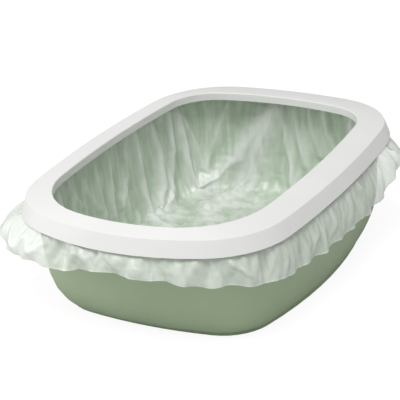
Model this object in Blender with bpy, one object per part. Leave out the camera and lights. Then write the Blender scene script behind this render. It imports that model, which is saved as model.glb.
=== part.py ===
"""Litter box with a disposable liner: a moulded pan, a film bag laid in it, and a clip-on rim over both.

Metres, +Z up. The pan stands on z = 0 with its length along Y and its near end at -Y.
Every ring of points below runs round the box at the same stations, counter-clockwise from +X.
"""

import math
import random

import bmesh
import bpy
import numpy as np

# Rim, outer top edge in plan
RIM_HALF_WIDTH = 0.196
RIM_HALF_LENGTH = 0.280
RIM_SIDE_BOW = 0.024
RIM_NEAR_BOW = 0.070
RIM_FAR_BOW = 0.030
RIM_NEAR_CORNER = 0.114
RIM_FAR_CORNER = 0.115

# Rim, its top face and the window inside it
RIM_SIDE_WIDTH = 0.037
RIM_NEAR_WIDTH = 0.025
RIM_FAR_WIDTH = 0.048
WINDOW_SIDE_BOW = 0.018
WINDOW_NEAR_BOW = 0.048
WINDOW_FAR_BOW = 0.029
WINDOW_NEAR_CORNER = 0.112
WINDOW_FAR_CORNER = 0.071
RIM_TOP_RISE = 0.006

# Rim, its section
RIM_WALL = 0.0024
RIM_SKIRT_HEIGHT = 0.022
RIM_SKIRT_FLARE = 0.007
RIM_EDGE_RADIUS = 0.003
RIM_LIP_DROP = 0.0115
RIM_LIP_RADIUS = 0.0010
RIM_RIB_HEIGHT = 0.0016
RIM_RIB_WIDTH = 0.0020

# Pan
PAN_HEIGHT = 0.160
PAN_WALL = 0.0025
PAN_FLOOR = 0.0028
PAN_FLANGE_WIDTH = 0.0080
PAN_LIP_DROP = 0.0110
PAN_LIP_CHAMFER = 0.0006

# Pan, how far its walls lean in by the ground, and the outline that they would meet it in
SIDE_LEAN = 0.0018
NEAR_LEAN = 0.0293
FAR_LEAN = 0.0053
BELLY_SIDE_BOW = 0.0275
BELLY_NEAR_BOW = 0.043
BELLY_FAR_BOW = 0.028
BELLY_NEAR_CORNER = 0.077
BELLY_FAR_CORNER = 0.087

# Pan, its rounded base and the foot under it
BASE_ROUND_HEIGHT = 0.072
SIDE_ROUND = 0.0115
NEAR_ROUND = 0.030
FAR_ROUND = 0.023
FOOT_SIDE_BOW = 0.038
FOOT_NEAR_BOW = 0.025
FOOT_FAR_BOW = 0.027
FOOT_NEAR_CORNER = 0.070
FOOT_FAR_CORNER = 0.075
FOOT_HEIGHT = 0.007
FOOT_STEP = 0.0012

# Liner film
FILM_THICKNESS = 0.0006
FILM_SLACK = 0.0016
FILM_PLAY = 0.0008
FLOOR_CRUMPLE = 0.0045
PLEAT_SEED = 11
RUFFLE_DEPTH = 0.0045
RUFFLE_PITCH = 0.047

# Clearance between pieces that rest on each other
FIT_GAP = 0.0003

# Stations on each quarter of the box
SIDE_STEPS = 5
CORNER_STEPS = 7
END_STEPS = 4
FILM_SPLITS = (3, 2, 2)

# Free hem of the liner: bearing from the middle of the box in degrees, height of the hem, and how far it
# stands out from the rim's top edge
HEM = (
    (0, 0.088, 0.016),
    (22, 0.086, 0.018),
    (42, 0.112, 0.026),
    (62, 0.100, 0.014),
    (90, 0.104, 0.012),
    (120, 0.100, 0.014),
    (140, 0.106, 0.022),
    (160, 0.096, 0.012),
    (182, 0.092, 0.012),
    (206, 0.098, 0.018),
    (227, 0.112, 0.040),
    (241, 0.104, 0.026),
    (253, 0.104, 0.014),
    (268, 0.117, 0.012),
    (282, 0.113, 0.011),
    (297, 0.105, 0.010),
    (318, 0.094, 0.011),
    (342, 0.090, 0.015),
)

# Large folds of the film inside the box: bearing at the top, bearing at the floor, depth and half width
SWAGS = (
    (128, 124, 0.012, 0.016),
    (133, 117, 0.014, 0.014),
    (139, 141, 0.011, 0.013),
    (92, 101, 0.015, 0.015),
    (88, 88, 0.010, 0.013),
    (84, 108, 0.013, 0.020),
    (78, 74, 0.009, 0.014),
    (46, 50, 0.010, 0.016),
    (228, 231, 0.011, 0.016),
    (312, 308, 0.011, 0.016),
)


class Outline:
    """A closed plan outline with bowed sides, bowed ends and round corners, all of them tangent arcs."""

    def __init__(self, half_width, near, far, side_bow, near_bow, far_bow, near_corner, far_corner):
        self.middle = (near + far) / 2
        half_length = (far - near) / 2
        far_arcs = self.quarter(half_width, half_length, side_bow, far_bow, far_corner)
        near_arcs = self.quarter(half_width, half_length, side_bow, near_bow, near_corner)
        self.points, self.normals = self.stations(far_arcs, near_arcs)

    @staticmethod
    def quarter(width, length, side_bow, end_bow, corner):
        """The three arcs from the middle of a side to the middle of an end: centre, radius, start and end."""
        side_radius = (length**2 + side_bow**2) / (2 * side_bow)
        end_radius = (width**2 + end_bow**2) / (2 * end_bow)
        side_centre = np.array([width - side_radius, 0.0])
        end_centre = np.array([0.0, length - end_radius])
        # The corner's centre lies at a known distance from both of the other centres
        to_side = side_radius - corner
        to_end = end_radius - corner
        span = np.linalg.norm(end_centre - side_centre)
        along = (end_centre - side_centre) / span
        across = np.array([along[1], -along[0]])
        reach = (to_side**2 - to_end**2 + span**2) / (2 * span)
        height = math.sqrt(max(to_side**2 - reach**2, 0.0))
        centres = [side_centre + reach * along + side * height * across for side in (1, -1)]
        corner_centre = max(centres, key=sum)
        leave_side = math.atan2(*(corner_centre - side_centre)[::-1])
        meet_end = math.atan2(*(corner_centre - end_centre)[::-1])
        return (
            (side_centre, side_radius, 0.0, leave_side),
            (corner_centre, corner, leave_side, meet_end),
            (end_centre, end_radius, meet_end, math.pi / 2),
        )

    def stations(self, far_arcs, near_arcs):
        """Points and outward normals at the shared stations, all the way round."""
        points = []
        normals = []
        for arcs, mirror_x, mirror_y, backwards in (
            (far_arcs, 1, 1, False),
            (far_arcs, -1, 1, True),
            (near_arcs, -1, -1, False),
            (near_arcs, 1, -1, True),
        ):
            quarter = []
            for (centre, radius, start, end), steps in zip(arcs, (SIDE_STEPS, CORNER_STEPS, END_STEPS)):
                for step in range(steps):
                    angle = start + (end - start) * step / steps
                    quarter.append((centre, radius, angle))
            centre, radius, start, end = arcs[-1]
            quarter.append((centre, radius, end))
            if backwards:
                quarter.reverse()
            for centre, radius, angle in quarter[:-1]:
                normal = np.array([math.cos(angle), math.sin(angle)])
                point = (centre + radius * normal) * (mirror_x, mirror_y) + (0.0, self.middle)
                points.append(point)
                normals.append(normal * (mirror_x, mirror_y))
        return np.array(points), np.array(normals)


def ring(points, height):
    """Plan points raised to a height, which is one number or one for each point."""
    return np.column_stack([points, np.broadcast_to(height, len(points))])


RIM_EDGE = Outline(
    RIM_HALF_WIDTH,
    -RIM_HALF_LENGTH,
    RIM_HALF_LENGTH,
    RIM_SIDE_BOW,
    RIM_NEAR_BOW,
    RIM_FAR_BOW,
    RIM_NEAR_CORNER,
    RIM_FAR_CORNER,
)
WINDOW = Outline(
    RIM_HALF_WIDTH - RIM_SIDE_WIDTH,
    RIM_NEAR_WIDTH - RIM_HALF_LENGTH,
    RIM_HALF_LENGTH - RIM_FAR_WIDTH,
    WINDOW_SIDE_BOW,
    WINDOW_NEAR_BOW,
    WINDOW_FAR_BOW,
    WINDOW_NEAR_CORNER,
    WINDOW_FAR_CORNER,
)

# The film passes between the pan's lip and the rim's skirt, and the rim's rib presses it on the flange
LIP_INSET = RIM_WALL + FIT_GAP + FILM_THICKNESS + FIT_GAP
WALL_INSET = LIP_INSET + PAN_FLANGE_WIDTH

BELLY_HALF_WIDTH = RIM_HALF_WIDTH - WALL_INSET - SIDE_LEAN
BELLY_NEAR = WALL_INSET + NEAR_LEAN - RIM_HALF_LENGTH
BELLY_FAR = RIM_HALF_LENGTH - WALL_INSET - FAR_LEAN
BELLY = Outline(
    BELLY_HALF_WIDTH,
    BELLY_NEAR,
    BELLY_FAR,
    BELLY_SIDE_BOW,
    BELLY_NEAR_BOW,
    BELLY_FAR_BOW,
    BELLY_NEAR_CORNER,
    BELLY_FAR_CORNER,
)
FOOT = Outline(
    BELLY_HALF_WIDTH - SIDE_ROUND,
    BELLY_NEAR + NEAR_ROUND,
    BELLY_FAR - FAR_ROUND,
    FOOT_SIDE_BOW,
    FOOT_NEAR_BOW,
    FOOT_FAR_BOW,
    FOOT_NEAR_CORNER,
    FOOT_FAR_CORNER,
)
RIM_SEAT = PAN_HEIGHT + FIT_GAP + FILM_THICKNESS + FIT_GAP
RIM_EDGE_HEIGHT = RIM_SEAT + RIM_RIB_HEIGHT + RIM_WALL
RIM_SKIRT_BOTTOM = RIM_EDGE_HEIGHT - RIM_SKIRT_HEIGHT
PAN_LIP_BOTTOM = PAN_HEIGHT - PAN_LIP_DROP


def rim_offset(distance):
    """Plan points outside the rim's top edge by a distance, or inside it where the distance is negative."""
    return RIM_EDGE.points + RIM_EDGE.normals * distance


def base_rounding(share):
    """How far round the base's quarter ellipse a share of the height is, from 0 above it to 90 degrees at the foot."""
    top = BASE_ROUND_HEIGHT / (PAN_HEIGHT - FOOT_HEIGHT)
    return math.asin(min(max(1 - share / top, 0.0), 1.0))


def wall_face(share):
    """Plan points of the pan's outer wall at a share of its height, and their outward normals."""
    turned = 1 - math.cos(base_rounding(share))
    straight = BELLY.points + (rim_offset(-WALL_INSET) - BELLY.points) * share
    normals = BELLY.normals + (RIM_EDGE.normals - BELLY.normals) * share
    normals = normals + (FOOT.normals - BELLY.normals) * turned
    points = straight + (FOOT.points - BELLY.points) * turned
    return points, normals / np.linalg.norm(normals, axis=1)[:, None]


def pan_outside(share):
    return ring(wall_face(share)[0], FOOT_HEIGHT + share * (PAN_HEIGHT - FOOT_HEIGHT))


def pan_inside(share, lift=0.0):
    """The pan's inner wall at a share of its height, or the surface that a lift above it gives."""
    points, normals = wall_face(share)
    angle = base_rounding(share)
    width = np.sum((BELLY.points - FOOT.points) * normals, axis=1)
    inward = BASE_ROUND_HEIGHT * math.cos(angle)
    upward = width * math.sin(angle)
    slope = np.hypot(inward, upward)
    inset = PAN_WALL + FOOT_STEP * math.sin(angle) + lift * inward / slope
    height = PAN_FLOOR + share * (PAN_HEIGHT - PAN_FLOOR)
    return ring(points - normals * inset[:, None], height + lift * upward / slope)


def rounding_shares(angles):
    """Shares of the pan's height that lie at the given degrees round its base."""
    top = BASE_ROUND_HEIGHT / (PAN_HEIGHT - FOOT_HEIGHT)
    return [top * (1 - math.sin(math.radians(angle))) for angle in angles]


def material(name, colour, roughness, alpha=1.0):
    made = bpy.data.materials.new(name)
    made.use_nodes = True
    shader = made.node_tree.nodes["Principled BSDF"]
    shader.inputs["Base Color"].default_value = (*colour, 1.0)
    shader.inputs["Roughness"].default_value = roughness
    shader.inputs["Metallic"].default_value = 0.0
    shader.inputs["Alpha"].default_value = alpha
    made.diffuse_color = (*colour, alpha)
    return made


def add_object(name, shape, finish, sharp_degrees):
    """Turns a bmesh into a named object with outward faces, its material and smooth shading."""
    bmesh.ops.recalc_face_normals(shape, faces=shape.faces[:])
    mesh = bpy.data.meshes.new(name)
    shape.to_mesh(mesh)
    shape.free()
    mesh.materials.append(finish)
    mesh.shade_smooth()
    mesh.set_sharp_from_angle(angle=math.radians(sharp_degrees))
    made = bpy.data.objects.new(name, mesh)
    bpy.context.scene.collection.objects.link(made)
    return made


def loft(rings, closed):
    """A bmesh skinned over rings of points. A closed loft joins its last ring to its first, an open one is capped."""
    shape = bmesh.new()
    loops = [[shape.verts.new(point) for point in points] for points in rings]
    count = len(loops[0])
    pairs = list(zip(loops, loops[1:]))
    if closed:
        pairs.append((loops[-1], loops[0]))
    else:
        shape.faces.new(loops[0])
        shape.faces.new(loops[-1])
    for lower, upper in pairs:
        for i in range(count):
            j = (i + 1) % count
            shape.faces.new((lower[i], lower[j], upper[j], upper[i]))
    return shape


def build_pan():
    """The pan: a footed tub with a rounded base and a turned-down flange, all one wall thickness."""
    foot = FOOT.points - FOOT.normals * FOOT_STEP
    rounded = rounding_shares((90, 66, 44, 22, 0))
    upper_wall = [rounded[-1] + (1 - rounded[-1]) * share for share in (0.33, 0.67)]
    lip_inside = -LIP_INSET - PAN_WALL
    flange_under = PAN_HEIGHT - PAN_WALL
    rings = [ring(foot, 0.0), ring(foot, FOOT_HEIGHT)]
    rings += [pan_outside(share) for share in rounded + upper_wall]
    rings += [
        ring(rim_offset(-WALL_INSET), flange_under),
        ring(rim_offset(lip_inside), flange_under),
        ring(rim_offset(lip_inside), PAN_LIP_BOTTOM),
        ring(rim_offset(-LIP_INSET), PAN_LIP_BOTTOM),
        ring(rim_offset(-LIP_INSET), PAN_HEIGHT - PAN_LIP_CHAMFER),
        ring(rim_offset(-LIP_INSET - PAN_LIP_CHAMFER), PAN_HEIGHT),
        pan_inside(1.0),
    ]
    rings += [pan_inside(share) for share in reversed(rounded + upper_wall)]
    return add_object("pan", loft(rings, closed=False), material("pan_moulding", (0.40, 0.49, 0.36), 0.42), 35)


def build_rim():
    """The rim: an upside-down channel whose skirt hides the pan's lip and whose rib sits on its flange."""
    edge = RIM_EDGE_HEIGHT
    window_top = edge + RIM_TOP_RISE
    window_bottom = window_top - RIM_LIP_DROP
    lip_outside = WINDOW.points + WINDOW.normals * RIM_WALL
    rib_middle = LIP_INSET + PAN_FLANGE_WIDTH / 2
    rib_outer = -rib_middle + RIM_RIB_WIDTH / 2
    rib_inner = -rib_middle - RIM_RIB_WIDTH / 2
    quarter = math.radians(45)
    soft = RIM_EDGE_RADIUS * (1 - math.cos(quarter))
    under = edge - RIM_WALL
    rings = [
        ring(WINDOW.points, window_bottom),
        ring(WINDOW.points, window_top - RIM_LIP_RADIUS),
        ring(WINDOW.points + WINDOW.normals * RIM_LIP_RADIUS, window_top),
        ring(rim_offset(-RIM_EDGE_RADIUS), edge),
        ring(rim_offset(-soft), edge - soft),
        ring(rim_offset(0.0), edge - RIM_EDGE_RADIUS),
        ring(rim_offset(RIM_SKIRT_FLARE), RIM_SKIRT_BOTTOM),
        ring(rim_offset(RIM_SKIRT_FLARE - RIM_WALL), RIM_SKIRT_BOTTOM),
        ring(rim_offset(-RIM_WALL), under - RIM_EDGE_RADIUS),
        ring(rim_offset(-RIM_WALL - soft), under),
        ring(rim_offset(rib_outer), under),
        ring(rim_offset(rib_outer), RIM_SEAT),
        ring(rim_offset(rib_inner), RIM_SEAT),
        ring(rim_offset(rib_inner), under),
        ring(lip_outside, window_top - RIM_WALL),
        ring(lip_outside, window_bottom),
    ]
    return add_object("rim", loft(rings, closed=True), material("rim_moulding", (0.86, 0.86, 0.85), 0.35), 35)


def film_columns():
    """Weights that spread the film's columns along the straight runs between stations."""
    quarter = [FILM_SPLITS[0]] * SIDE_STEPS + [FILM_SPLITS[1]] * CORNER_STEPS + [FILM_SPLITS[2]] * END_STEPS
    splits = quarter + quarter[::-1] + quarter + quarter[::-1]
    weights = np.zeros((sum(splits), len(splits)))
    column = 0
    for station, parts in enumerate(splits):
        for part in range(parts):
            weights[column, station] = 1 - part / parts
            weights[column, (station + 1) % len(splits)] += part / parts
            column += 1
    return weights


class Film:
    """The liner as one middle surface: floor, pleated walls, the turn over the pan's flange and the free hem."""

    def __init__(self):
        self.weights = film_columns()
        edge = self.weights @ RIM_EDGE.points
        steps = np.linalg.norm(np.roll(edge, -1, axis=0) - edge, axis=1)
        self.girth = steps.sum()
        self.along = np.concatenate([[0.0], np.cumsum(steps)[:-1]])
        self.bearing = np.degrees(np.arctan2(edge[:, 1], edge[:, 0])) % 360
        self.pleats = self.choose_pleats()

    def spread(self, points):
        return self.weights @ points

    def along_at(self, bearing):
        """The place round the edge that lies at a bearing from the middle of the box."""
        return np.interp(bearing % 360, np.append(self.bearing, 360.0), np.append(self.along, self.girth))

    def apart(self, place):
        """Signed distance round the edge from each column to a place."""
        half = self.girth / 2
        return (self.along - place + half) % self.girth - half

    def choose_pleats(self):
        """Every fold of the walls: place at the top, drift at the floor, depth and half width."""
        pleats = []
        for top, floor, depth, width in SWAGS:
            start = self.along_at(top)
            drift = (self.along_at(floor) - start + self.girth / 2) % self.girth - self.girth / 2
            pleats.append((start, drift, depth, width))
        chance = random.Random(PLEAT_SEED)
        place = 0.0
        while place < self.girth:
            depth = chance.uniform(0.0025, 0.0075)
            width = chance.uniform(0.009, 0.014)
            pleats.append((place, chance.uniform(-0.020, 0.020), depth, width))
            place += chance.uniform(0.026, 0.044)
        return pleats

    def pleat_depth(self, share):
        """How far each column of a wall ring stands in from the pan, at a share of the wall's height."""
        fade = math.sin(math.pi * min(max(1.0 - share, 0.0), 1.0) ** 0.55)
        depth = np.zeros_like(self.along)
        for start, drift, size, width in self.pleats:
            spread = width * (1 + 0.6 * (1 - share))
            offset = self.apart(start + drift * (1 - share))
            depth = np.maximum(depth, size * np.exp(-((offset / spread) ** 2)))
        return depth * fade

    def wall(self, share):
        """A ring of the film inside the pan, pleats and all."""
        flat = self.spread(pan_inside(share, FILM_SLACK))
        folded = self.spread(pan_inside(share, FILM_SLACK + 1.0))
        return flat + (folded - flat) * self.pleat_depth(share)[:, None]

    def floor(self, reach):
        """A ring of the film on the pan's floor, at a share of the way from its middle to its edge."""
        edge = self.spread(pan_inside(0.0, FILM_SLACK))
        middle = edge.mean(axis=0)
        points = middle + (edge - middle) * reach
        turns = 2 * math.pi * self.along / self.girth
        crumple = 1 + np.sin(9 * turns + 14 * reach) * np.cos(5 * turns - 9 * reach)
        points[:, 2] += FLOOR_CRUMPLE * crumple / 2
        return points

    def over_flange(self):
        """The rings that lie on the pan's flange, turn down outside its lip and leave below the rim."""
        half = FILM_THICKNESS / 2
        clear = FIT_GAP + half
        rest = PAN_HEIGHT + clear
        outside = -LIP_INSET + clear
        inner_edge = rim_offset(-WALL_INSET - PAN_WALL - FILM_PLAY)
        return [
            self.spread(ring(inner_edge, rest)),
            self.spread(ring(rim_offset(outside), rest)),
            self.spread(ring(rim_offset(outside), PAN_LIP_BOTTOM)),
            self.spread(ring(rim_offset(outside + FILM_PLAY), RIM_SKIRT_BOTTOM - clear)),
        ]

    def hem_values(self):
        """Height and stand-off of the hem at each column, run smoothly between the chosen bearings."""
        places = np.array([self.along_at(bearing) for bearing, _, _ in HEM])
        found = []
        for values in ([height for _, height, _ in HEM], [reach for _, _, reach in HEM]):
            after = np.searchsorted(places, self.along, side="right") % len(places)
            before = after - 1
            gap = (places[after] - places[before]) % self.girth
            share = ((self.along - places[before]) % self.girth) / gap
            smooth = share * share * (3 - 2 * share)
            values = np.array(values)
            found.append(values[before] + (values[after] - values[before]) * smooth)
        return found

    def ruffle(self, turn):
        """The in-and-out wave of the free film, a mix of three pitches that close round the girth."""
        waves = round(self.girth / RUFFLE_PITCH)
        angle = 2 * math.pi * self.along / self.girth
        wave = np.sin(waves * angle + turn)
        wave += 0.6 * np.sin((waves - 11) * angle - 2 * turn)
        wave += 0.5 * np.sin((waves + 9) * angle + 3 * turn)
        return wave

    def skirt(self, parts):
        """The free film from the rim down to the hem."""
        height, reach = self.hem_values()
        start = RIM_SKIRT_BOTTOM - FIT_GAP - FILM_THICKNESS / 2
        rings = []
        for part in range(1, parts + 1):
            share = part / parts
            out = reach * math.sin(math.pi / 2 * share) ** 0.8
            out = out + RUFFLE_DEPTH * math.sqrt(share) * self.ruffle(1.3 * share)
            drop = start + (height - start) * share
            drop = drop + 0.4 * RUFFLE_DEPTH * share * self.ruffle(2.0 + share)
            points = self.spread(RIM_EDGE.points) + self.spread(RIM_EDGE.normals) * out[:, None]
            rings.append(ring(points, drop))
        return rings

    def build(self):
        """The middle surface as a bmesh with a fan at the middle of the floor."""
        rounded = rounding_shares((58, 28, 0))
        rings = [self.floor(0.5), self.floor(1.0)]
        rings += [self.wall(share) for share in rounded]
        rings += [self.wall(rounded[-1] + (1 - rounded[-1]) * share) for share in (0.38, 0.76)]
        rings += self.over_flange()
        rings += self.skirt(4)
        shape = bmesh.new()
        loops = [[shape.verts.new(point) for point in points] for points in rings]
        centre = shape.verts.new(rings[0].mean(axis=0))
        count = len(loops[0])
        for i in range(count):
            j = (i + 1) % count
            shape.faces.new((loops[0][i], loops[0][j], centre))
            for lower, upper in zip(loops, loops[1:]):
                shape.faces.new((lower[i], upper[i], upper[j], lower[j]))
        return shape


def build_liner():
    """The liner: the film's middle surface, given its thickness half to each side."""
    film = add_object("liner", Film().build(), material("liner_film", (0.80, 0.84, 0.80), 0.28, alpha=0.6), 180)
    skin = film.modifiers.new("film thickness", "SOLIDIFY")
    skin.thickness = FILM_THICKNESS
    skin.offset = 0.0
    skin.use_rim = True
    return film


def clear_scene():
    for old in list(bpy.data.objects):
        bpy.data.objects.remove(old, do_unlink=True)


clear_scene()
build_pan()
build_rim()
build_liner()
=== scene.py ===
"""Looks of a litter box with its disposable liner: satin mouldings, a thin milky film and soft lamps."""

import logging
import math
import random
from dataclasses import dataclass
from enum import Enum
from typing import Callable

import bpy
import numpy as np
from mathutils import Matrix, Vector
from mathutils.bvhtree import BVHTree


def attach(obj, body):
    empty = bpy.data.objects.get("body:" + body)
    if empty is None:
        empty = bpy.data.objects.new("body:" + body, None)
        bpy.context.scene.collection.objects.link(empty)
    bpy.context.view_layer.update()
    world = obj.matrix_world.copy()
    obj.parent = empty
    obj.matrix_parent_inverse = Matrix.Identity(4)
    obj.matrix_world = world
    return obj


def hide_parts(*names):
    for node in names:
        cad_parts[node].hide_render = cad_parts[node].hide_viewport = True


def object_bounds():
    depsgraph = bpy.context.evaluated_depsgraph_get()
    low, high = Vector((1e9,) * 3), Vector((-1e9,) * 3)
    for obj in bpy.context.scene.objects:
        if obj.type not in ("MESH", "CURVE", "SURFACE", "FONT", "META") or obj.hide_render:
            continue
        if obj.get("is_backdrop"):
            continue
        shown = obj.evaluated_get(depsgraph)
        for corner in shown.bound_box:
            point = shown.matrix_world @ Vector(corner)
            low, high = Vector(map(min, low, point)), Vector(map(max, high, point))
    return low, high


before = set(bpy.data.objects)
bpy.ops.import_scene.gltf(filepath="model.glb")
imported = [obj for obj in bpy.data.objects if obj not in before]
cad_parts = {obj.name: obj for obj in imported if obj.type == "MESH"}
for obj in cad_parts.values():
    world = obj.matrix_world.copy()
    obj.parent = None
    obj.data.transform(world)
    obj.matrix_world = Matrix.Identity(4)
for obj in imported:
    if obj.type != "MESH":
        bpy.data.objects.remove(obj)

LOG = logging.getLogger("litter_box")
PICTURE_SIDE = 400
MM = 0.001

Value = float | tuple[float, ...] | bpy.types.NodeSocket


# Colours and shader nodes


def linear(code: str) -> tuple[float, float, float, float]:
    """Turns an sRGB hex code into linear red, green, blue and alpha.

    Args:
        code: Six hex digits, such as "A8B8A0".

    Returns:
        The colour in linear light with alpha 1.
    """
    channels = [int(code[i : i + 2], 16) / 255 for i in (0, 2, 4)]
    values = [c / 12.92 if c <= 0.04045 else ((c + 0.055) / 1.055) ** 2.4 for c in channels]
    return (values[0], values[1], values[2], 1.0)


def add_node(
    tree: bpy.types.NodeTree, kind: str, inputs: dict[str | int, Value] | None = None, **settings: object
) -> bpy.types.Node:
    """Adds one node, sets its options and fills its sockets with values or links.

    Args:
        tree: The node tree that the node joins.
        kind: The node's type name.
        inputs: Socket name or place, with a plain value or the output socket to link from.
        **settings: Options of the node itself.

    Returns:
        The new node.
    """
    node = tree.nodes.new(kind)
    for name, value in settings.items():
        setattr(node, name, value)
    for key, value in (inputs or {}).items():
        if isinstance(value, bpy.types.NodeSocket):
            tree.links.new(value, node.inputs[key])
        else:
            node.inputs[key].default_value = value
    return node


def bare_material(name: str) -> tuple[bpy.types.Material, bpy.types.NodeTree]:
    """Makes a material with an empty node tree.

    Args:
        name: The material's name.

    Returns:
        The material and its tree.
    """
    made = bpy.data.materials.new(name)
    made.use_nodes = True
    made.node_tree.nodes.clear()
    return made, made.node_tree


def mottle(
    tree: bpy.types.NodeTree,
    place: bpy.types.NodeSocket,
    pitch_mm: float,
    detail: float,
    reach: tuple[float, float],
) -> bpy.types.NodeSocket:
    """Makes a soft uneven pattern and maps it to a range of values.

    Args:
        tree: The node tree.
        place: Coordinates in metres.
        pitch_mm: Size of the pattern's patches.
        detail: Octaves of finer noise on top.
        reach: Value in the low and in the high patches.

    Returns:
        The pattern's value.
    """
    sockets = {"Vector": place, "Scale": 1 / (pitch_mm * MM), "Detail": detail}
    value = add_node(tree, "ShaderNodeTexNoise", sockets).outputs[0]
    mapped = {"Value": value, "From Min": 0.25, "From Max": 0.75, "To Min": reach[0], "To Max": reach[1]}
    return add_node(tree, "ShaderNodeMapRange", mapped).outputs[0]


def relief(
    tree: bpy.types.NodeTree, layers: tuple[tuple[bpy.types.NodeSocket, float, float], ...]
) -> bpy.types.NodeSocket:
    """Stacks height patterns, coarse ones first, into one turned normal.

    Args:
        tree: The node tree.
        layers: Height, depth in millimetres and strength of each pattern.

    Returns:
        The normal.
    """
    sockets: dict[str | int, Value] = {}
    for height, depth_mm, strength in layers:
        sockets |= {"Height": height, "Distance": depth_mm * MM, "Strength": strength}
        sockets["Normal"] = add_node(tree, "ShaderNodeBump", sockets).outputs[0]
    return sockets["Normal"]


@dataclass(frozen=True)
class MouldedFinish:
    """Satin injection-moulded polypropylene: even colour, fine spark-eroded grain, faint flow clouding.

    Attributes:
        name: The material's name.
        colour: sRGB hex of the plastic.
        cloud_colour: sRGB hex of the slightly different clouds in it.
        roughness: Lowest and highest roughness over the surface.
        grain_depth_mm: Depth of the mould's grain.
        grain_mm: Size of the grain. The real one is about 0.1 mm and is drawn coarser, so that it shows.
        cloud_mm: Size of the clouds.
        wear_mm: Size of the patches where the mould's polish has worn.
        ripple_mm: Length of the ripples where the walls sank as they cooled.
        ripple_depth_mm: Depth of those ripples.
    """

    name: str
    colour: str
    cloud_colour: str
    roughness: tuple[float, float]
    grain_depth_mm: float
    grain_mm: float = 0.9
    cloud_mm: float = 70.0
    wear_mm: float = 18.0
    ripple_mm: float = 24.0
    ripple_depth_mm: float = 0.12

    def material(self) -> bpy.types.Material:
        """Builds the material.

        Returns:
            The finished material.
        """
        made, tree = bare_material(self.name)
        place = add_node(tree, "ShaderNodeTexCoord").outputs["Object"]
        # Flow clouding, a few centimetres across, keeps large plain walls from looking flat
        clouds = mottle(tree, place, self.cloud_mm, 3, (0.0, 1.0))
        tints = {0: clouds, 6: linear(self.colour), 7: linear(self.cloud_colour)}
        colour = add_node(tree, "ShaderNodeMix", tints, data_type="RGBA").outputs[2]
        # The mould's grain and the wear of its polish break up the highlights
        wear = mottle(tree, place, self.wear_mm, 4, self.roughness)
        heights = []
        for pitch_mm, detail in ((self.ripple_mm, 1), (self.grain_mm, 2)):
            sockets = {"Vector": place, "Scale": 1 / (pitch_mm * MM), "Detail": detail}
            heights.append(add_node(tree, "ShaderNodeTexNoise", sockets).outputs[0])
        ripples = (heights[0], self.ripple_depth_mm, 0.5)
        grain = (heights[1], self.grain_depth_mm, 0.6)
        normal = relief(tree, (ripples, grain))
        faced = {"Base Color": colour, "Roughness": wear, "Normal": normal, "IOR": 1.49}
        shader = add_node(tree, "ShaderNodeBsdfPrincipled", faced).outputs[0]
        add_node(tree, "ShaderNodeOutputMaterial", {"Surface": shader})
        return made


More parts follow.
